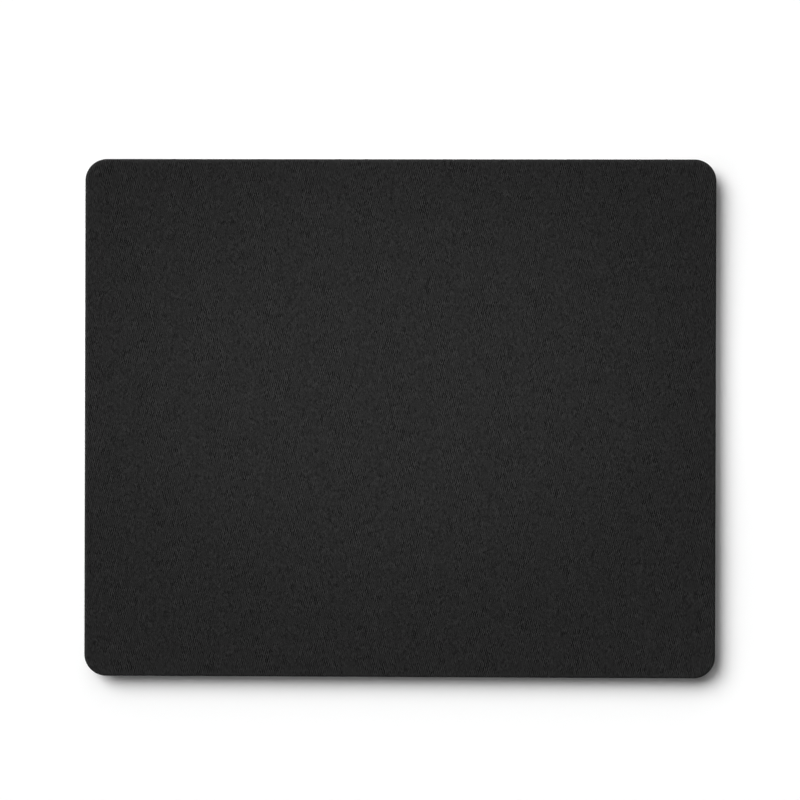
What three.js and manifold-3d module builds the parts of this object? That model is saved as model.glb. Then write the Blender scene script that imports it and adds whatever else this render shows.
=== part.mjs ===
// A cloth-faced mouse pad, built as the four-layer laminate it is die-cut from.
// Millimetres, +Z up. The origin is the middle of the underside, +X runs along
// the long side and +Y towards the far edge.
import * as THREE from 'three';
import { mergeVertices } from 'three/addons/utils/BufferGeometryUtils.js';
import Module from 'manifold-3d';

// Die-cut outline, shared by all four layers
const padLength = 223;
const padWidth = 183;
const cornerRadius = 7.7;

// Layer thicknesses, from the desk up
const gripThickness = 0.5;
const coreThickness = 4.875;
const filmThickness = 0.125;
const clothThickness = 0.5;

// Upper rim, which the cutting die presses down
const rimDrop = 0.35;
const rimReach = 1.05;

// Cut edge of the sponge, which draws in once the die lets it go
const coreDrawIn = 0.35;

// Moulded grip pattern: zigzag grooves that run along the pad's length
const groovePitch = 5;
const grooveWidth = 1.6;
const grooveDepth = 0.25;
const zigzagLength = 26;
const zigzagHeight = 2;
const grooveRimLand = 2;

// How far a groove's cutter reaches past what it cuts
const cutOverrun = 1;

// Counts of facets
const cornerSegments = 10;
const rimSegments = 3;
const drawInSegments = 6;

// Surfaces, with the colours that the pad shows
const knittedPolyester = new THREE.MeshStandardMaterial({
  color: 0x242424,
  roughness: 0.85,
  metalness: 0,
});
const hotMeltFilm = new THREE.MeshStandardMaterial({
  color: 0x3b3b3a,
  roughness: 0.45,
  metalness: 0,
});
const spongeRubber = new THREE.MeshStandardMaterial({
  color: 0x262626,
  roughness: 0.95,
  metalness: 0,
});
const mouldedRubber = new THREE.MeshStandardMaterial({
  color: 0x2a2a2a,
  roughness: 0.8,
  metalness: 0,
});

const wasm = await Module();
wasm.setup();

/**
 * Welds a geometry's shared vertices and makes a solid of it.
 * @param {THREE.BufferGeometry} geometry a closed geometry.
 * @returns {object} the solid, ready to be cut.
 */
function solidFrom(geometry) {
  geometry.deleteAttribute('normal');
  geometry.deleteAttribute('uv');
  const welded = mergeVertices(geometry);
  return new wasm.Manifold(new wasm.Mesh({
    numProp: 3,
    vertProperties: new Float32Array(welded.attributes.position.array),
    triVerts: new Uint32Array(welded.index.array),
  }));
}

/**
 * Turns a solid back into a geometry.
 * @param {object} solid a finished solid.
 * @returns {THREE.BufferGeometry} its surface, with normals.
 */
function geometryFrom(solid) {
  const mesh = solid.getMesh();
  const geometry = new THREE.BufferGeometry();
  geometry.setAttribute('position', new THREE.BufferAttribute(mesh.vertProperties, 3));
  geometry.setIndex(new THREE.BufferAttribute(mesh.triVerts, 1));
  geometry.computeVertexNormals();
  return geometry;
}

/**
 * Finds the points of the die-cut outline, or of one that lies inside it all round.
 * @param {number} inset how far inside the outline the points lie.
 * @returns {THREE.Vector2[]} the points, anticlockwise from the right side.
 */
function outlinePoints(inset) {
  const radius = cornerRadius - inset;
  const points = [];
  for (let corner = 0; corner < 4; corner += 1) {
    const right = corner === 0 || corner === 3;
    const far = corner < 2;
    const x = (padLength / 2 - cornerRadius) * (right ? 1 : -1);
    const y = (padWidth / 2 - cornerRadius) * (far ? 1 : -1);
    for (let step = 0; step <= cornerSegments; step += 1) {
      const turn = (corner + step / cornerSegments) * Math.PI / 2;
      points.push(new THREE.Vector2(x + radius * Math.cos(turn), y + radius * Math.sin(turn)));
    }
  }
  return points;
}

/**
 * Lofts a closed layer through rings of the outline, from its lower face round to its upper one.
 * @param {THREE.Vector2[]} profile each ring's inset, as x, and its height, as y.
 * @returns {THREE.BufferGeometry} the layer.
 */
function loftedLayer(profile) {
  const positions = [];
  for (const ring of profile) {
    for (const point of outlinePoints(ring.x)) {
      positions.push(point.x, point.y, ring.y);
    }
  }
  const ringSize = positions.length / 3 / profile.length;
  const lastRing = (profile.length - 1) * ringSize;
  const faces = [];
  for (let start = 0; start < lastRing; start += ringSize) {
    for (let index = 0; index < ringSize; index += 1) {
      const next = (index + 1) % ringSize;
      faces.push(start + index, start + next, start + ringSize + next);
      faces.push(start + index, start + ringSize + next, start + ringSize + index);
    }
  }
  for (const [a, b, c] of THREE.ShapeUtils.triangulateShape(outlinePoints(profile[0].x), [])) {
    faces.push(c, b, a);
  }
  for (const [a, b, c] of THREE.ShapeUtils.triangulateShape(outlinePoints(profile.at(-1).x), [])) {
    faces.push(lastRing + a, lastRing + b, lastRing + c);
  }
  const geometry = new THREE.BufferGeometry();
  geometry.setAttribute('position', new THREE.Float32BufferAttribute(positions, 3));
  geometry.setIndex(faces);
  geometry.computeVertexNormals();
  return geometry;
}

/**
 * Traces the pressed rim of a face, from the cut edge in to where the face is flat.
 * @param {number} height the height of the flat face.
 * @returns {THREE.Vector2[]} insets and heights, from the cut edge inwards.
 */
function rimProfile(height) {
  const points = [];
  for (let step = 0; step <= rimSegments; step += 1) {
    const share = 1 - step / rimSegments;
    points.push(new THREE.Vector2(rimReach * (1 - share), height - rimDrop * share ** 2));
  }
  return points;
}

/**
 * Cuts a thin layer that follows the sponge down over its pressed rim.
 * @param {number} thickness the layer's thickness.
 * @returns {THREE.BufferGeometry} the layer, with its flat lower face at zero.
 */
function coveringLayer(thickness) {
  return loftedLayer([...rimProfile(0).reverse(), ...rimProfile(thickness)]);
}

/**
 * Makes the sponge: flat below, drawn in along its cut edge, pressed down at its upper rim.
 * @returns {THREE.BufferGeometry} the sponge, with its lower face at zero.
 */
function foamCore() {
  const cutHeight = coreThickness - rimDrop;
  const edge = [];
  for (let step = 0; step < drawInSegments; step += 1) {
    const share = step / drawInSegments;
    edge.push(new THREE.Vector2(coreDrawIn * Math.sin(share * Math.PI), cutHeight * share));
  }
  return loftedLayer([...edge, ...rimProfile(coreThickness)]);
}

/**
 * Makes the cutter for one zigzag groove, with a crest at the middle of the pad's length.
 * @param {number} y where the groove's middle line lies across the pad.
 * @returns {THREE.BufferGeometry} a band that runs out past both ends of the pad.
 */
function grooveCutter(y) {
  const stride = zigzagLength / 2;
  const strides = Math.ceil((padLength / 2 + cutOverrun) / stride);
  const farSide = [];
  const nearSide = [];
  for (let step = -strides; step <= strides; step += 1) {
    const middle = y + zigzagHeight * (step % 2 === 0 ? 1 : -1);
    farSide.push(new THREE.Vector2(step * stride, middle + grooveWidth / 2));
    nearSide.push(new THREE.Vector2(step * stride, middle - grooveWidth / 2));
  }
  const band = new THREE.Shape([...nearSide, ...farSide.reverse()]);
  const cutter = new THREE.ExtrudeGeometry(band, {
    depth: grooveDepth + cutOverrun,
    bevelEnabled: false,
  });
  cutter.translate(0, 0, -cutOverrun);
  return cutter;
}

/**
 * Makes the grip layer: a rubber sheet with as many grooves as its width takes.
 * @returns {THREE.BufferGeometry} the layer, with its lands at zero.
 */
function gripBase() {
  const rim = grooveRimLand + zigzagHeight + grooveWidth / 2;
  const gaps = Math.floor((padWidth - 2 * rim) / groovePitch);
  const sheet = loftedLayer([new THREE.Vector2(0, 0), new THREE.Vector2(0, gripThickness)]);
  let grip = solidFrom(sheet);
  for (let index = 0; index <= gaps; index += 1) {
    grip = grip.subtract(solidFrom(grooveCutter((index - gaps / 2) * groovePitch)));
  }
  return geometryFrom(grip);
}

// The layers lie face to face, each on the one before it.
const layers = [
  {
    name: 'grip_base',
    shape: gripBase(),
    material: mouldedRubber,
    thickness: gripThickness,
  },
  {
    name: 'foam_core',
    shape: foamCore(),
    material: spongeRubber,
    thickness: coreThickness,
  },
  {
    name: 'bond_film',
    shape: coveringLayer(filmThickness),
    material: hotMeltFilm,
    thickness: filmThickness,
  },
  {
    name: 'cloth_face',
    shape: coveringLayer(clothThickness),
    material: knittedPolyester,
    thickness: clothThickness,
  },
];

const mousePad = new THREE.Group();
let level = 0;
for (const layer of layers) {
  const mesh = new THREE.Mesh(layer.shape, layer.material);
  mesh.name = layer.name;
  mesh.position.z = level;
  mousePad.add(mesh);
  level += layer.thickness;
}

export default mousePad;
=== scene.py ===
"""A cloth-faced mouse pad on a white table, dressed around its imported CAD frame.

The pad is a die-cut laminate of four layers: knitted cloth, a film of adhesive, a sponge
rubber core and a moulded grip sheet. Each layer is modelled in millimetres and becomes a
mesh in metres that stands for the CAD node of the same layer.
"""

import logging
import math
from dataclasses import dataclass, field
from enum import Enum
from typing import Iterable, Optional

import bmesh
import bpy
from mathutils import Euler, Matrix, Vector, noise


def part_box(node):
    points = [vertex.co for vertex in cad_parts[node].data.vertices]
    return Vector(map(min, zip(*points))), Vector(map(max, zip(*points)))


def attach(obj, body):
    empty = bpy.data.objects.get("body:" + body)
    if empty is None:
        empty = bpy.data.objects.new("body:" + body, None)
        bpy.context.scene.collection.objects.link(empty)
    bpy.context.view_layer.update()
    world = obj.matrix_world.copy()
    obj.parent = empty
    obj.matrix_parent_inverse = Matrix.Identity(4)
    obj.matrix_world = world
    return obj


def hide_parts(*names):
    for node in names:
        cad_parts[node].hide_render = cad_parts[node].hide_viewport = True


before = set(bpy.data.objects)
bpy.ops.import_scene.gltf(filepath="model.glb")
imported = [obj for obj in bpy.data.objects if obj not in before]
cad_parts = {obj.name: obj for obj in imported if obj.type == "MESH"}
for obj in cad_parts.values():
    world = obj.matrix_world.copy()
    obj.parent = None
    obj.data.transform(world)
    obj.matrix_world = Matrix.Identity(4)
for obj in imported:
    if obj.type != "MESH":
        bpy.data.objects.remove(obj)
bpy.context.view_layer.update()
log = logging.getLogger("mouse_pad")

BODY = "root"
# The attribute that carries the cloth's painted rim light
PAINTED_RIM_LIGHT = "painted_rim_light"
WHITE = "#ffffff"
MILLIMETRE = 0.001
PER_METRE = 1 / MILLIMETRE

# How near a cutting plane a vertex counts as lying on it, in millimetres
CUT_TOLERANCE = 1e-5

# The size that makes a grid one unit long and wide, with its middle at the origin
UNIT_GRID = 0.5

# A Mix node has sockets for each kind of data; these take its two colours and give their mix.
COLOUR_A = 6
COLOUR_B = 7
COLOUR_RESULT = 2

# The corners of a groove's section: its near or far flank, and nought at the lip or one on the floor
GROOVE_CORNERS = ((-1, 0), (-1, 1), (1, 1), (1, 0))


class CadNode(Enum):
    """The CAD nodes that the layers stand for, from the table up."""

    GRIP = "grip_base"
    CORE = "foam_core"
    FILM = "bond_film"
    CLOTH = "cloth_face"


def millimetres(node: CadNode) -> tuple[Vector, Vector]:
    """Reads the box that a CAD node fills.

    Args:
        node: the CAD node.

    Returns:
        Its lowest and highest corners, in millimetres.
    """
    low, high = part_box(node.value)
    return low * PER_METRE, high * PER_METRE


def linear(code: str) -> tuple[float, float, float, float]:
    """Turns an sRGB hex colour into the linear colour that a socket takes, by sRGB's own curve.

    Args:
        code: six hex digits after a hash sign.

    Returns:
        Red, green and blue as linear light, and an alpha of one.
    """
    channels = []
    for start in (1, 3, 5):
        value = int(code[start:start + 2], 16) / 255
        low = value <= 0.04045
        channels.append(value / 12.92 if low else ((value + 0.055) / 1.055) ** 2.4)
    return (*channels, 1.0)


def add_node(tree: bpy.types.NodeTree, kind: str, settings: Optional[dict] = None,
             inputs: Optional[dict] = None) -> bpy.types.Node:
    """Adds a node with its settings and links.

    Args:
        tree: the node tree that takes it.
        kind: the node's type, without the word ShaderNode.
        settings: its properties by name.
        inputs: for each input, by name or number, a value, an output, or a node that stands
            for its first output.

    Returns:
        The new node.
    """
    node = tree.nodes.new("ShaderNode" + kind)
    for name, value in (settings or {}).items():
        setattr(node, name, value)
    for name, value in (inputs or {}).items():
        source = value.outputs[0] if isinstance(value, bpy.types.Node) else value
        if isinstance(source, bpy.types.NodeSocket):
            tree.links.new(source, node.inputs[name])
        else:
            node.inputs[name].default_value = source
    return node


@dataclass(frozen=True)
class Finish:
    """A surface finish: what every material of the pad is made from.

    The two shades say how bright the pattern's darkest and lightest parts are, against the
    colour as written.
    """

    title: str
    colour: str
    roughness: float
    ior: float
    specular: float
    shades: tuple[float, float]

    def material(self) -> bpy.types.Material:
        """Makes the material.

        Returns:
            The material, with its pattern's nodes in place.
        """
        made = bpy.data.materials.new(self.title)
        made.use_nodes = True
        tree = made.node_tree
        tree.nodes.clear()
        shader = add_node(tree, "BsdfPrincipled", None, {
            "Base Color": linear(self.colour),
            "Roughness": self.roughness,
            "IOR": self.ior,
            "Specular IOR Level": self.specular,
        })
        add_node(tree, "OutputMaterial", None, {"Surface": shader})
        # Object coordinates are metres; the mapping turns them into millimetres.
        coordinates = add_node(tree, "TexCoord").outputs["Object"]
        scale = (PER_METRE, PER_METRE, PER_METRE)
        place = add_node(tree, "Mapping", None, {"Vector": coordinates, "Scale": scale})
        self.pattern(tree, shader, place)
        return made

    def pattern(self, tree: bpy.types.NodeTree, shader: bpy.types.Node, place: bpy.types.Node) -> None:
        """Adds the pattern of one finish; this plain form adds none."""

    def tint(self, tree: bpy.types.NodeTree, shader: bpy.types.Node, share: bpy.types.Node) -> None:
        """Lets the colour run between its darkest and its lightest shade.

        Args:
            tree: the material's nodes.
            shader: the shader that takes the colour.
            share: the node that gives nought for the darkest shade and one for the lightest.
        """
        red, green, blue, _ = linear(self.colour)
        dark, light = [(red * shade, green * shade, blue * shade, 1.0) for shade in self.shades]
        mix = add_node(tree, "Mix", {"data_type": "RGBA"}, {
            "Factor": share, COLOUR_A: dark, COLOUR_B: light,
        })
        tree.links.new(mix.outputs[COLOUR_RESULT], shader.inputs["Base Color"])


@dataclass(frozen=True)
class KnittedPolyester(Finish):
    """Black polyester in a fine rib knit: matt, and grained with short upright dashes.

    Its wales are so fine that one is as wide as a pixel of the main view, where only the
    difference between neighbours shows. Lengths are millimetres.
    """

    title: str = "knitted polyester"
    colour: str = "#1f1f1f"
    roughness: float = 0.85
    ior: float = 1.5
    specular: float = 0.08
    shades: tuple[float, float] = (0.0, 2.0)
    ground_share: float = 0.5
    wale: float = 0.36
    course: float = 0.3
    stitch_length: float = 0.8
    stagger: float = 0.5
    swap_length: float = 1.35
    rib_contrast: float = 0.48
    stitch_contrast: float = 0.92
    patch_spacing: float = 3.2
    patch_gain: float = 4.4
    patch_offset: float = -1.2
    faintest_grain: float = 0.15
    wander: float = 0.5
    wander_spacing: float = 6.0
    leg_slant: float = 0.5
    loop_height: float = 0.02
    ply: float = 0.17
    # How much painted light lifts the cloth's colour at the cut
    painted_rim_lightening: float = 0.45

    def pattern(self, tree: bpy.types.NodeTree, shader: bpy.types.Node, place: bpy.types.Node) -> None:
        """Draws the ribs, the stitches in each wale and the loops of the yarn.

        Args:
            tree: the material's nodes.
            shader: the shader that takes the pattern.
            place: the node that gives where a point is, in millimetres.
        """
        along, across, upwards = add_node(tree, "SeparateXYZ", None, {0: place}).outputs
        wander = add_node(tree, "TexNoise", None, {
            "Vector": place, "Scale": 1 / self.wander_spacing, "Detail": 3.0,
        })
        shift = add_node(tree, "Math", {"operation": "MULTIPLY_ADD"}, {
            0: wander, 1: 2 * self.wander, 2: -self.wander,
        })

        # A wale's middle lies where its count is whole. Each second wale stands up as a rib,
        # and the ribs change places with the wales between them every few courses.
        wales = add_node(tree, "Math", {"operation": "DIVIDE"}, {0: along, 1: self.wale})
        count = add_node(tree, "Math", {"operation": "ADD"}, {0: wales, 1: shift})
        stretches = add_node(tree, "Math", {"operation": "DIVIDE"}, {0: across, 1: self.swap_length})
        shifted = add_node(tree, "Math", {"operation": "ADD"}, {0: stretches, 1: shift})
        swaps = add_node(tree, "Math", {"operation": "FLOOR"}, {0: shifted})
        swapped = add_node(tree, "Math", {"operation": "ADD"}, {0: count, 1: swaps})
        half_turns = add_node(tree, "Math", {"operation": "MULTIPLY"}, {0: swapped, 1: math.pi})
        rib = add_node(tree, "Math", {"operation": "COSINE"}, {0: half_turns})

        # Each stitch takes up a little more or less yarn than its neighbours, which lie half
        # a stitch higher or lower.
        column = add_node(tree, "Math", {"operation": "ROUND"}, {0: count})
        stagger = add_node(tree, "Math", {"operation": "MULTIPLY"}, {0: column, 1: self.stagger})
        lengths = add_node(tree, "Math", {"operation": "DIVIDE"}, {0: across, 1: self.stitch_length})
        staggered = add_node(tree, "Math", {"operation": "ADD"}, {0: lengths, 1: stagger})
        row = add_node(tree, "Math", {"operation": "FLOOR"}, {0: staggered})
        plies = add_node(tree, "Math", {"operation": "DIVIDE"}, {0: upwards, 1: self.ply})
        ply = add_node(tree, "Math", {"operation": "ROUND"}, {0: plies})
        cell = add_node(tree, "CombineXYZ", None, {0: column, 1: row, 2: ply})
        stitch = add_node(tree, "TexWhiteNoise", {"noise_dimensions": "3D"}, {"Vector": cell})

        # The grain is plain in patches and faint between them, and the colour is painted paler
        # near the cut, as painted light that lifts the shade on the pressed rim.
        patches = add_node(tree, "TexNoise", None, {
            "Vector": place, "Scale": 1 / self.patch_spacing, "Detail": 3.0, "Roughness": 0.6,
        })
        lifted = add_node(tree, "Math", {"operation": "MULTIPLY_ADD"}, {
            0: patches, 1: self.patch_gain, 2: self.patch_offset,
        })
        plainness = add_node(tree, "Math", {"operation": "MAXIMUM"}, {0: lifted, 1: self.faintest_grain})
        stitches = add_node(tree, "Math", {"operation": "MULTIPLY_ADD"}, {
            0: stitch, 1: self.stitch_contrast / 2, 2: -self.stitch_contrast / 4,
        })
        grain = add_node(tree, "Math", {"operation": "MULTIPLY_ADD"}, {
            0: rib, 1: self.rib_contrast / 2, 2: stitches,
        })
        painted_rim_light = add_node(tree, "Attribute", {"attribute_name": PAINTED_RIM_LIGHT}).outputs["Fac"]
        ground = add_node(tree, "Math", {"operation": "MULTIPLY_ADD"}, {
            0: painted_rim_light, 1: self.painted_rim_lightening / 2, 2: self.ground_share,
        })
        share = add_node(tree, "Math", {"operation": "MULTIPLY_ADD"}, {0: grain, 1: plainness, 2: ground})
        self.tint(tree, shader, share)

        # The two legs of each loop slant away from the middle of its wale.
        aside = add_node(tree, "Math", {"operation": "SUBTRACT"}, {0: count, 1: column})
        off_middle = add_node(tree, "Math", {"operation": "ABSOLUTE"}, {0: aside})
        courses = add_node(tree, "Math", {"operation": "DIVIDE"}, {0: across, 1: self.course})
        rise = add_node(tree, "Math", {"operation": "MULTIPLY_ADD"}, {
            0: off_middle, 1: self.leg_slant, 2: courses,
        })
        turns = add_node(tree, "Math", {"operation": "MULTIPLY"}, {0: rise, 1: math.tau})
        leg = add_node(tree, "Math", {"operation": "COSINE"}, {0: turns})
        bump = add_node(tree, "Bump", None, {
            "Height": add_node(tree, "Math", {"operation": "SUBTRACT"}, {0: leg, 1: off_middle}),
            "Distance": self.loop_height * MILLIMETRE,
            "Strength": 1.0,
        })
        tree.links.new(bump.outputs[0], shader.inputs["Normal"])


@dataclass(frozen=True)
class HotMeltFilm(Finish):
    """Smoke-grey hot-melt adhesive, pressed to a film: a faint, slightly shiny line in the cut.

    Lengths are millimetres.
    """

    title: str = "hot-melt adhesive film"
    colour: str = "#3b3b3a"
    roughness: float = 0.45
    ior: float = 1.49
    specular: float = 0.5
    shades: tuple[float, float] = (0.5, 1.5)
    streak_spacing: float = 1.5

    def pattern(self, tree: bpy.types.NodeTree, shader: bpy.types.Node, place: bpy.types.Node) -> None:
        """Lets the adhesive run thicker and thinner along the cut.

        Args:
            tree: the material's nodes.
            shader: the shader that takes the pattern.
            place: the node that gives where a point is, in millimetres.
        """
        streaks = add_node(tree, "TexNoise", None, {
            "Vector": place, "Scale": 1 / self.streak_spacing, "Detail": 4.0,
        })
        self.tint(tree, shader, streaks)


@dataclass(frozen=True)
class SpongeRubber(Finish):
    """Black expanded rubber, sliced by a die: dull, with open cells painted darker in their hollows as
    painted shade.

    Lengths are millimetres.
    """

    title: str = "die-cut sponge rubber"
    colour: str = "#262626"
    roughness: float = 0.95
    ior: float = 1.5
    specular: float = 0.3
    shades: tuple[float, float] = (0.55, 1.5)
    cell: float = 0.22
    cell_depth: float = 0.08
    pit_shade_strength: float = 0.6
    mottle_spacing: float = 2.4
    mottle_contrast: float = 0.5

    def pattern(self, tree: bpy.types.NodeTree, shader: bpy.types.Node, place: bpy.types.Node) -> None:
        """Draws the fine cells between the pores that the mesh holds, with painted shade in each cell's
        hollow.

        Args:
            tree: the material's nodes.
            shader: the shader that takes the pattern.
            place: the node that gives where a point is, in millimetres.
        """
        cells = add_node(tree, "TexVoronoi", {"feature": "F1"}, {
            "Vector": place, "Scale": 1 / self.cell, "Randomness": 1.0,
        }).outputs["Distance"]
        mottle = add_node(tree, "TexNoise", None, {
            "Vector": place, "Scale": 1 / self.mottle_spacing, "Detail": 3.0,
        })
        # Painted shade: each cell's colour is darkest in its middle, where its bump sinks.
        painted_pit_shade = add_node(tree, "Math", {"operation": "MULTIPLY"}, {0: cells, 1: self.pit_shade_strength})
        share = add_node(tree, "Math", {"operation": "MULTIPLY_ADD"}, {
            0: mottle, 1: self.mottle_contrast, 2: painted_pit_shade,
        })
        self.tint(tree, shader, share)
        bump = add_node(tree, "Bump", None, {
            "Height": cells, "Distance": self.cell_depth * MILLIMETRE, "Strength": 1.0,
        })
        tree.links.new(bump.outputs[0], shader.inputs["Normal"])


@dataclass(frozen=True)
class MouldedRubber(Finish):
    """Black rubber cured against a blasted mould: a satin grain under a faint grey bloom.

    Lengths are millimetres.
    """

    title: str = "moulded rubber"
    colour: str = "#2a2a2a"
    roughness: float = 0.72
    ior: float = 1.52
    specular: float = 0.5
    shades: tuple[float, float] = (0.75, 1.55)
    grain: float = 0.35
    grain_depth: float = 0.02
    bloom_spacing: float = 38.0
    bloom_dulling: float = 0.3

    def pattern(self, tree: bpy.types.NodeTree, shader: bpy.types.Node, place: bpy.types.Node) -> None:
        """Draws the mould's grain and the bloom that lies over it in clouds.

        Args:
            tree: the material's nodes.
            shader: the shader that takes the pattern.
            place: the node that gives where a point is, in millimetres.
        """
        grain = add_node(tree, "TexNoise", None, {
            "Vector": place, "Scale": 1 / self.grain, "Detail": 5.0, "Roughness": 0.7,
        })
        bloom = add_node(tree, "TexNoise", None, {
            "Vector": place, "Scale": 1 / self.bloom_spacing, "Detail": 4.0, "Distortion": 0.6,
        })
        self.tint(tree, shader, bloom)
        dull = add_node(tree, "Math", {"operation": "MULTIPLY_ADD"}, {
            0: bloom, 1: self.bloom_dulling, 2: self.roughness - self.bloom_dulling / 2,
        })
        tree.links.new(dull.outputs[0], shader.inputs["Roughness"])
        bump = add_node(tree, "Bump", None, {
            "Height": grain, "Distance": self.grain_depth * MILLIMETRE, "Strength": 1.0,
        })
        tree.links.new(bump.outputs[0], shader.inputs["Normal"])


@dataclass(frozen=True)
class Outline:
    """The die-cut outline that all four layers share, in millimetres."""

    length: float
    width: float
    corner_radius: float = 7.7
    corner_segments: int = 24

    def start(self, mesh: bmesh.types.BMesh, height: float) -> bmesh.types.BMFace:
        """Starts a layer as one face that looks up: a rectangle with its corners bevelled round.

        Args:
            mesh: the mesh that takes the face.
            height: how high the face lies.

        Returns:
            The face.
        """
        made = bmesh.ops.create_grid(mesh, x_segments=1, y_segments=1, size=UNIT_GRID)
        bmesh.ops.scale(mesh, vec=(self.length, self.width, 1), verts=made["verts"])
        bmesh.ops.translate(mesh, vec=(0, 0, height), verts=made["verts"])
        bmesh.ops.bevel(
            mesh, geom=made["verts"], offset=self.corner_radius, offset_type="OFFSET",
            segments=self.corner_segments, profile=0.5, affect="VERTICES", material=-1,
        )
        mesh.faces.ensure_lookup_table()
        return mesh.faces[0]

    def corner_offset(self, x: float, y: float) -> Vector:
        """Finds how far a point lies past the middles of the corner arcs, along each axis.

        Args:
            x: the point's place along the pad.
            y: the point's place across it.

        Returns:
            The two distances, each with its axis's sign, or nought where the edge is straight.
        """
        past_x = max(abs(x) - (self.length / 2 - self.corner_radius), 0)
        past_y = max(abs(y) - (self.width / 2 - self.corner_radius), 0)
        return Vector((math.copysign(past_x, x), math.copysign(past_y, y)))

    def inset_of(self, x: float, y: float) -> float:
        """Measures how far inside the outline a point lies.

        Args:
            x: the point's place along the pad.
            y: the point's place across it.

        Returns:
            The least distance to the outline.
        """
        offset = self.corner_offset(x, y)
        if offset.x and offset.y:
            return self.corner_radius - offset.length
        return min(self.length / 2 - abs(x), self.width / 2 - abs(y))

    def outward(self, x: float, y: float) -> Vector:
        """Finds which way is straight out of the outline, from a point on it.

        Args:
            x: the point's place along the pad.
            y: the point's place across it.

        Returns:
            A vector of length one, with no height.
        """
        return self.corner_offset(x, y).normalized().to_3d()


@dataclass(frozen=True)
class PressedRim:
    """How the cutting die leaves the upper rim: pressed down, and steepest at the cut."""

    drop: float
    reach: float = 1.05
    rings: int = 6

    def raise_on(self, mesh: bmesh.types.BMesh, face: bmesh.types.BMFace) -> None:
        """Builds the rim's rings inwards from a face that lies at the height of the cut.

        Args:
            mesh: the layer's mesh.
            face: the face that is drawn in and raised, and ends as the flat of the layer.
        """
        for ring in range(self.rings):
            outer = 1 - ring / self.rings
            inner = 1 - (ring + 1) / self.rings
            bmesh.ops.inset_region(
                mesh, faces=[face], use_boundary=True, use_even_offset=True,
                thickness=self.reach / self.rings, depth=self.drop * (outer ** 2 - inner ** 2),
            )


def finished(mesh: bmesh.types.BMesh, name: str, crease: float) -> bpy.types.Object:
    """Turns a layer's mesh from millimetres into an object in metres, at the origin.

    Args:
        mesh: the closed mesh, in millimetres, which is used up.
        name: the piece's name.
        crease: the angle in degrees above which an edge stays sharp.

    Returns:
        The object, linked to the scene.
    """
    bmesh.ops.recalc_face_normals(mesh, faces=mesh.faces[:])
    bmesh.ops.scale(mesh, vec=(MILLIMETRE, MILLIMETRE, MILLIMETRE), verts=mesh.verts[:])
    for face in mesh.faces:
        face.smooth = True
    data = bpy.data.meshes.new(name)
    mesh.to_mesh(data)
    mesh.free()
    data.set_sharp_from_angle(angle=math.radians(crease))
    made = bpy.data.objects.new(name, data)
    bpy.context.scene.collection.objects.link(made)
    return made


@dataclass
class Layer:
    """One layer of the laminate, and how it takes the place of its CAD node.

    The crease is the angle in degrees above which an edge of its mesh stays sharp.
    """

    outline: Outline
    finish: Finish
    name: str
    node: CadNode
    slot: str
    crease: float = 35.0
    piece: Optional[bpy.types.Object] = field(default=None, init=False)

    def shape(self) -> bmesh.types.BMesh:
        """Shapes the layer, in millimetres."""
        raise NotImplementedError

    def build(self) -> bpy.types.Object:
        """Builds the layer and fits it to the body that carries it.

        Returns:
            The layer's object.
        """
        self.piece = finished(self.shape(), self.name, self.crease)
        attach(self.piece, BODY)
        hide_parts(self.node.value)
        return self.piece

    def dress(self) -> None:
        """Gives the layer its finish."""
        self.piece.data.materials.append(self.finish.material())


@dataclass
class Covering(Layer):
    """A thin layer that follows the sponge down over its pressed rim."""

    rim: PressedRim = field(kw_only=True)

    def shape(self) -> bmesh.types.BMesh:
        """Shapes the layer's upper face, and its lower face a thickness below.

        Returns:
            The closed mesh.
        """
        low, high = millimetres(self.node)
        thickness = high.z - low.z - self.rim.drop
        mesh = bmesh.new()
        face = self.outline.start(mesh, high.z - self.rim.drop)
        self.rim.raise_on(mesh, face)
        self.detail(mesh)
        upper = mesh.verts[:]
        made = bmesh.ops.extrude_face_region(mesh, geom=mesh.faces[:], use_keep_orig=True)
        lower = [item for item in made["geom"] if isinstance(item, bmesh.types.BMVert)]
        bmesh.ops.translate(mesh, vec=(0, 0, -thickness), verts=lower)
        self.relief(upper)
        return mesh

    def detail(self, mesh: bmesh.types.BMesh) -> None:
        """Cuts the upper face finer where the layer has a relief; a plain one has none."""

    def relief(self, upper: Iterable[bmesh.types.BMVert]) -> None:
        """Moves the upper face's vertices where the layer has a relief; a plain one has none."""


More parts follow.
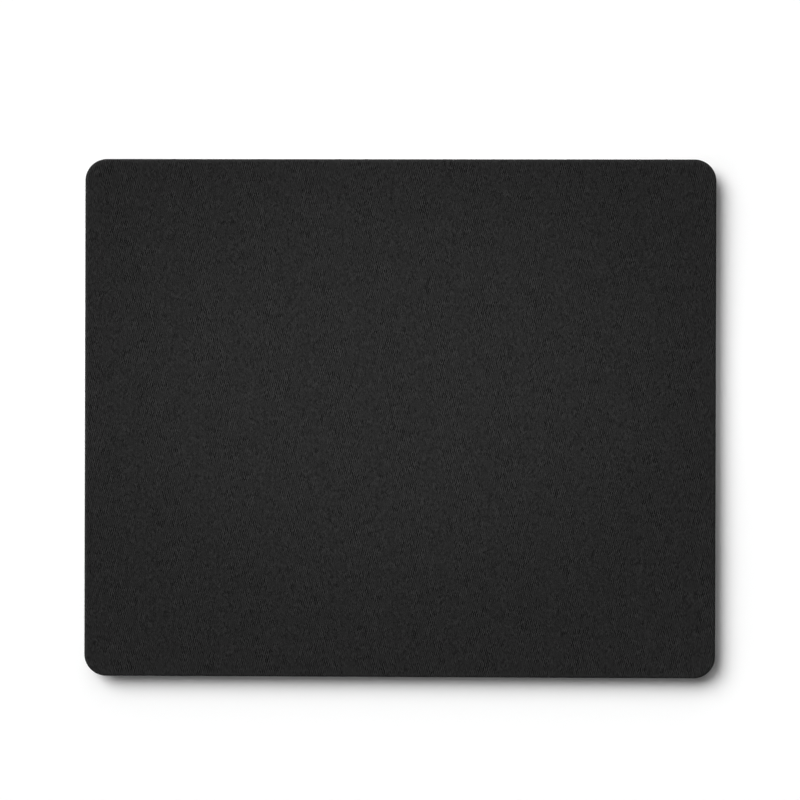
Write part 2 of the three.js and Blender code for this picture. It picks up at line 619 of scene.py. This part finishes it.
@dataclass
class KnittedCloth(Covering):
    """The cloth face: a knit with fine ribs that run across the pad's length."""

    rib_spacing: float = 0.72
    rib_height: float = 0.03
    facets_per_rib: int = 4
    fade_rings: int = 2
    fade_width: float = 1.2

    def detail(self, mesh: bmesh.types.BMesh) -> None:
        """Cuts the face into columns, a few for each rib, with rings where the ribs rise.

        Args:
            mesh: the upper face, rim and all.
        """
        flat = max(mesh.faces, key=lambda face: face.calc_area())
        for _ in range(self.fade_rings):
            bmesh.ops.inset_region(
                mesh, faces=[flat], use_boundary=True, use_even_offset=True,
                thickness=self.fade_width / self.fade_rings, depth=0,
            )
        column = self.rib_spacing / self.facets_per_rib
        half_count = int(self.outline.length / 2 / column)
        uncut = mesh.faces[:]
        for index in range(-half_count, half_count + 1):
            x = index * column
            edges = {edge for face in uncut for edge in face.edges}
            corners = {corner for edge in edges for corner in edge.verts}
            cut = bmesh.ops.bisect_plane(
                mesh, geom=[*uncut, *edges, *corners], dist=CUT_TOLERANCE,
                plane_co=(x, 0, 0), plane_no=(1, 0, 0),
            )
            faces = [item for item in cut["geom"] if isinstance(item, bmesh.types.BMFace)]
            uncut = [face for face in faces if face.calc_center_bounds().x > x]

    def relief(self, upper: Iterable[bmesh.types.BMVert]) -> None:
        """Lowers the furrows between the ribs, out to where the die has pressed them flat.

        Args:
            upper: the vertices of the upper face.
        """
        for vertex in upper:
            inset = self.outline.inset_of(vertex.co.x, vertex.co.y)
            full = min(max((inset - self.rim.reach) / self.fade_width, 0), 1)
            furrow = (1 - math.cos(math.tau * vertex.co.x / self.rib_spacing)) / 2
            vertex.co.z -= self.rib_height * full * furrow

    def build(self) -> bpy.types.Object:
        """Returns:
            The cloth's object.
        """
        piece = super().build()
        # Painted light on the rim: a share that is one at the cut and fades inwards, which lifts the shade
        # on the pressed rim.
        painted_rim_light = piece.data.attributes.new(PAINTED_RIM_LIGHT, "FLOAT", "POINT")
        for vertex, value in zip(piece.data.vertices, painted_rim_light.data):
            inset = self.outline.inset_of(vertex.co.x * PER_METRE, vertex.co.y * PER_METRE)
            value.value = max(1 - inset / (self.rim.reach + self.fade_width), 0) ** 2
        return piece


@dataclass
class SpongeCore(Layer):
    """The sponge: its cut edge draws in and shows the pores that the die sliced open.

    How large a pore is follows from where its middle lies, which the shuffle scales first so
    that neighbours differ.
    """

    rim: PressedRim = field(kw_only=True)
    draw_in: float = 0.35
    mesh_size: float = 0.22
    pore_spacing: float = 0.6
    pore_radius_share: float = 0.62
    pore_size_spread: float = 0.3
    pore_shuffle: float = 7.3
    pore_depth: float = 0.2
    seed: Vector = field(default_factory=lambda: Vector((31.7, 5.2, 11.9)))

    def shape(self) -> bmesh.types.BMesh:
        """Shapes the sponge from its lower face up.

        Returns:
            The closed mesh.
        """
        low, high = millimetres(self.node)
        cut_height = high.z - low.z - self.rim.drop
        mesh = bmesh.new()
        face = self.outline.start(mesh, low.z)
        for edge in face.edges[:]:
            cuts = round(edge.calc_length() / self.mesh_size) - 1
            if cuts > 0:
                bmesh.ops.subdivide_edges(mesh, edges=[edge], cuts=cuts)
        made = bmesh.ops.extrude_face_region(mesh, geom=[face], use_keep_orig=True)
        raised = [item for item in made["geom"] if isinstance(item, bmesh.types.BMVert)]
        top = next(item for item in made["geom"] if isinstance(item, bmesh.types.BMFace))
        bmesh.ops.translate(mesh, vec=(0, 0, cut_height), verts=raised)
        upright = [edge for edge in mesh.edges
                   if abs(edge.verts[0].co.z - edge.verts[1].co.z) > cut_height / 2]
        rows = round(cut_height / self.mesh_size)
        bmesh.ops.subdivide_edges(mesh, edges=upright, cuts=rows - 1, use_grid_fill=True)
        self.rim.raise_on(mesh, top)

        # Only the rows between the two faces go inwards. The last share lies half a row below
        # the upper face, so that rounding can't take its edge along.
        last_share = 1 - 0.5 / rows
        for vertex in mesh.verts:
            share = (vertex.co.z - low.z) / cut_height
            if 0 < share < last_share:
                outward = self.outline.outward(vertex.co.x, vertex.co.y)
                drawn_in = self.draw_in * math.sin(math.pi * share)
                vertex.co -= outward * (drawn_in + self.pore(vertex.co))
        return mesh

    def pore(self, place: Vector) -> float:
        """Measures how deep the cut edge is pitted at a point.

        Args:
            place: the point, in millimetres.

        Returns:
            The depth of the pore there, or nought between pores.
        """
        distances, middles = noise.voronoi(place / self.pore_spacing + self.seed)
        size = 1 - self.pore_size_spread + self.pore_size_spread * noise.cell(middles[0] * self.pore_shuffle)
        radius = self.pore_radius_share * size
        return self.pore_depth * max(1 - (distances[0] / radius) ** 2, 0)

    def build(self) -> bpy.types.Object:
        """Returns:
            The sponge's object.
        """
        piece = super().build()
        return piece


@dataclass
class GripSheet(Layer):
    """The grip sheet: moulded rubber with zigzag grooves that run along the pad.

    The bend is the angle in degrees above which two faces meet in an edge of a groove.
    """

    groove_pitch: float = 5.0
    groove_width: float = 1.6
    groove_depth: float = 0.25
    groove_bend: float = 45.0
    groove_round: float = 0.09
    groove_round_segments: int = 3
    zigzag_length: float = 26.0
    zigzag_height: float = 2.0
    rim_land: float = 2.0

    def shape(self) -> bmesh.types.BMesh:
        """Shapes the grooved underside, cuts it to the outline and closes it above.

        Returns:
            The closed mesh.
        """
        low, high = millimetres(self.node)
        mesh = bmesh.new()
        self.grooves(mesh)
        self.trim(mesh)
        bmesh.ops.translate(mesh, vec=(0, 0, low.z), verts=mesh.verts[:])
        rim = [edge for edge in mesh.edges if edge.is_boundary]
        made = bmesh.ops.extrude_edge_only(mesh, edges=rim)
        upper = [item for item in made["geom"] if isinstance(item, bmesh.types.BMVert)]
        for vertex in upper:
            vertex.co.z = high.z
        open_edges = [edge for edge in mesh.edges if edge.is_boundary]
        bmesh.ops.holes_fill(mesh, edges=open_edges, sides=0)
        return mesh

    def grooves(self, mesh: bmesh.types.BMesh) -> None:
        """Folds a grid into zigzag grooves, and rounds their edges.

        Args:
            mesh: the mesh that takes the grid.
        """
        stride = self.zigzag_length / 2
        strides = math.ceil(self.outline.length / 2 / stride)
        margin = self.rim_land + self.zigzag_height + self.groove_width / 2
        count = math.floor((self.outline.width - 2 * margin) / self.groove_pitch) + 1

        # The grid has a row for each corner of each groove, and one beyond the outline at each side.
        rows = len(GROOVE_CORNERS) * count + 2
        made = bmesh.ops.create_grid(mesh, x_segments=2 * strides, y_segments=rows - 1, size=UNIT_GRID)
        for vertex in made["verts"]:
            column = round((vertex.co.x + UNIT_GRID) * 2 * strides) - strides
            row = round((vertex.co.y + UNIT_GRID) * (rows - 1))
            vertex.co.x = column * stride
            if row in (0, rows - 1):
                vertex.co.y = math.copysign(self.outline.width, vertex.co.y)
                continue
            groove, corner = divmod(row - 1, len(GROOVE_CORNERS))
            flank, floor = GROOVE_CORNERS[corner]
            middle = (groove - (count - 1) / 2) * self.groove_pitch
            zigzag = self.zigzag_height * (1 if column % 2 == 0 else -1)
            vertex.co.y = middle + zigzag + flank * self.groove_width / 2
            vertex.co.z = floor * self.groove_depth
        creases = [edge for edge in mesh.edges if not edge.is_boundary
                   and edge.calc_face_angle() > math.radians(self.groove_bend)]
        bmesh.ops.bevel(
            mesh, geom=creases, offset=self.groove_round, offset_type="OFFSET",
            segments=self.groove_round_segments, profile=0.5, affect="EDGES", material=-1,
        )

    def trim(self, mesh: bmesh.types.BMesh) -> None:
        """Cuts the grooved sheet to the outline, side by side and facet by facet.

        Args:
            mesh: the grooved sheet, larger than the outline all round.
        """
        radius = self.outline.corner_radius
        segments = self.outline.corner_segments
        reach = Vector((self.outline.length / 2 - radius, self.outline.width / 2 - radius, 0))
        for quarter in range(4):
            turn = Euler((0, 0, quarter * math.pi / 2))
            for step in range(segments + 1):
                # The first cut of a quarter is a straight side; the rest are facets of its corner.
                angle = 0 if step == 0 else (step - 0.5) / segments * math.pi / 2
                normal = Vector((math.cos(angle), math.sin(angle), 0))
                normal.rotate(turn)
                corner = Vector((math.copysign(reach.x, normal.x), math.copysign(reach.y, normal.y), 0))
                apothem = radius if step == 0 else radius * math.cos(math.pi / 4 / segments)
                bmesh.ops.bisect_plane(
                    mesh, geom=[*mesh.faces, *mesh.edges, *mesh.verts], dist=CUT_TOLERANCE,
                    plane_co=corner + normal * apothem, plane_no=normal, clear_outer=True,
                )


@dataclass(frozen=True)
class Softbox:
    """A broad lamp, so far off that it lights the whole table alike; its angles are degrees."""

    name: str
    bearing: float
    elevation: float
    breadth: float
    strength: float

    def hang(self) -> None:
        """Hangs the lamp, turned to shine on the pad."""
        bearing = math.radians(self.bearing)
        elevation = math.radians(self.elevation)
        level = math.cos(elevation)
        towards = Vector((math.cos(bearing) * level, math.sin(bearing) * level, math.sin(elevation)))
        data = bpy.data.lights.new(self.name, "SUN")
        data.angle = math.radians(self.breadth)
        data.energy = self.strength
        lamp = bpy.data.objects.new(self.name, data)
        lamp.rotation_euler = towards.to_track_quat("Z", "Y").to_euler()
        bpy.context.scene.collection.objects.link(lamp)


@dataclass(frozen=True)
class PoolLamp:
    """The lamp overhead, whose soft pool of light fades towards the pad's edges; in metres."""

    name: str = "pool_lamp"
    middle: tuple[float, float] = (-0.0092, 0.0164)
    height: float = 1.2
    reach: float = 0.0977
    stretch: float = 1.42
    lamp_radius: float = 0.03
    power: float = 22.9

    def hang(self) -> None:
        """Hangs the lamp, which shines straight down."""
        data = bpy.data.lights.new(self.name, "SPOT")
        data.spot_size = 2 * math.atan(self.reach / self.height)
        data.spot_blend = 1.0
        data.shadow_soft_size = self.lamp_radius
        data.energy = self.power
        lamp = bpy.data.objects.new(self.name, data)
        lamp.location = (*self.middle, self.height)
        lamp.scale = (self.stretch, 1, 1)
        bpy.context.scene.collection.objects.link(lamp)


@dataclass(frozen=True)
class Studio:
    """The white table, its lamps and the camera above it, in metres and degrees."""

    camera_height: float = 0.9
    view_width: float = 0.2845
    aim: tuple[float, float] = (0.00003, 0.00641)
    camera_turn: tuple[float, float, float] = (-0.10, 1.10, 0.15)
    sensor_width: float = 36.0

    softboxes: tuple[Softbox, ...] = (
        Softbox("key_softbox", bearing=137.0, elevation=42.2, breadth=43.0, strength=2.78),
        Softbox("left_softbox", bearing=174.0, elevation=31.8, breadth=79.6, strength=1.07),
        Softbox("far_softbox", bearing=96.0, elevation=32.5, breadth=72.0, strength=1.40),
    )
    pool_lamp: PoolLamp = PoolLamp()

    fill_strength: float = 0.008
    ceiling_strength: float = 0.1
    backdrop_top: float = 35.0
    ceiling_start: float = 60.0

    table_radius: float = 8.0
    table_segments: int = 64
    table_colour: str = "#e6e6e6"

    def camera(self) -> None:
        """Hangs the camera over the table."""
        data = bpy.data.cameras.new("camera")
        data.sensor_width = self.sensor_width
        data.lens = self.sensor_width * self.camera_height / self.view_width
        made = bpy.data.objects.new("camera", data)
        turn = Euler([math.radians(angle) for angle in self.camera_turn])
        back = Vector((0, 0, self.camera_height))
        back.rotate(turn)
        made.location = Vector((*self.aim, 0)) + back
        made.rotation_euler = turn
        bpy.context.scene.collection.objects.link(made)
        bpy.context.scene.camera = made

    def lamps(self) -> None:
        """Hangs the softboxes and the lamp overhead."""
        for lamp in (*self.softboxes, self.pool_lamp):
            lamp.hang()

    def background_rays(self, tree: bpy.types.NodeTree) -> bpy.types.Node:
        """Tells the rays that show the background from those that light the pad.

        Args:
            tree: the node tree that asks.

        Returns:
            The node that gives one for camera, glossy and transmission rays, and nought for others.
        """
        path = add_node(tree, "LightPath").outputs
        seen = add_node(tree, "Math", {"operation": "MAXIMUM"}, {
            0: path["Is Camera Ray"], 1: path["Is Glossy Ray"],
        })
        return add_node(tree, "Math", {"operation": "MAXIMUM"}, {0: seen, 1: path["Is Transmission Ray"]})

    def room(self) -> None:
        """Makes the world: a white backdrop round the table, under a dim ceiling."""
        world = bpy.data.worlds.new("studio")
        bpy.context.scene.world = world
        world.use_nodes = True
        tree = world.node_tree
        tree.nodes.clear()
        direction = add_node(tree, "TexCoord").outputs["Generated"]
        height = add_node(tree, "SeparateXYZ", None, {0: direction}).outputs["Z"]
        shade = add_node(tree, "MapRange", None, {
            "Value": height,
            "From Min": math.sin(math.radians(self.backdrop_top)),
            "From Max": math.sin(math.radians(self.ceiling_start)),
            "To Min": 1.0,
            "To Max": self.ceiling_strength,
        })
        white = linear(WHITE)
        shown = add_node(tree, "Background", None, {"Color": white, "Strength": shade})
        fill = add_node(tree, "Background", None, {"Color": white, "Strength": self.fill_strength})
        mix = add_node(tree, "MixShader", None, {0: self.background_rays(tree), 1: fill, 2: shown})
        add_node(tree, "OutputWorld", None, {"Surface": mix})

    def table(self) -> None:
        """Lays the table, which isn't part of the pad.

        It shows white and keeps the pad's shadow, but gives back less light than white would.
        """
        mesh = bmesh.new()
        bmesh.ops.create_circle(mesh, cap_ends=True, segments=self.table_segments, radius=self.table_radius)
        data = bpy.data.meshes.new("table")
        mesh.to_mesh(data)
        mesh.free()
        made = bpy.data.objects.new("table", data)
        bpy.context.scene.collection.objects.link(made)
        material = bpy.data.materials.new("painted white table")
        material.use_nodes = True
        tree = material.node_tree
        tree.nodes.clear()
        colour = add_node(tree, "Mix", {"data_type": "RGBA"}, {
            "Factor": self.background_rays(tree),
            COLOUR_A: linear(self.table_colour),
            COLOUR_B: linear(WHITE),
        })
        paint = add_node(tree, "BsdfDiffuse", None, {"Color": colour.outputs[COLOUR_RESULT]})
        add_node(tree, "OutputMaterial", None, {"Surface": paint})
        data.materials.append(material)


def main() -> None:
    """Sets the studio and builds the pad from the table up."""
    logging.basicConfig(level=logging.INFO, format="%(name)s: %(message)s")
    bpy.context.scene.view_settings.view_transform = "Standard"
    studio = Studio()
    studio.camera()
    studio.lamps()
    studio.room()
    studio.table()

    film_low, film_high = millimetres(CadNode.FILM)
    cloth_low, cloth_high = millimetres(CadNode.CLOTH)
    outline = Outline(length=cloth_high.x - cloth_low.x, width=cloth_high.y - cloth_low.y)
    rim = PressedRim(drop=film_high.z - cloth_low.z)
    layers = [
        GripSheet(
            outline, MouldedRubber(),
            name="rubber_grip_sheet", node=CadNode.GRIP, slot="moulded_rubber",
        ),
        SpongeCore(
            outline, SpongeRubber(),
            name="sponge_rubber_core", node=CadNode.CORE, slot="sponge_rubber",
            rim=PressedRim(drop=rim.drop, reach=rim.reach, rings=3), crease=60.0,
        ),
        Covering(
            outline, HotMeltFilm(),
            name="adhesive_film", node=CadNode.FILM, slot="hot_melt_film", rim=rim,
        ),
        KnittedCloth(
            outline, KnittedPolyester(),
            name="knitted_cloth", node=CadNode.CLOTH, slot="knitted_cloth", rim=rim,
        ),
    ]
    for layer in layers:
        piece = layer.build()
        layer.dress()
        log.info("%s: %d faces, %s", piece.name, len(piece.data.polygons), layer.finish.title)


if __name__ == "__main__":
    main()
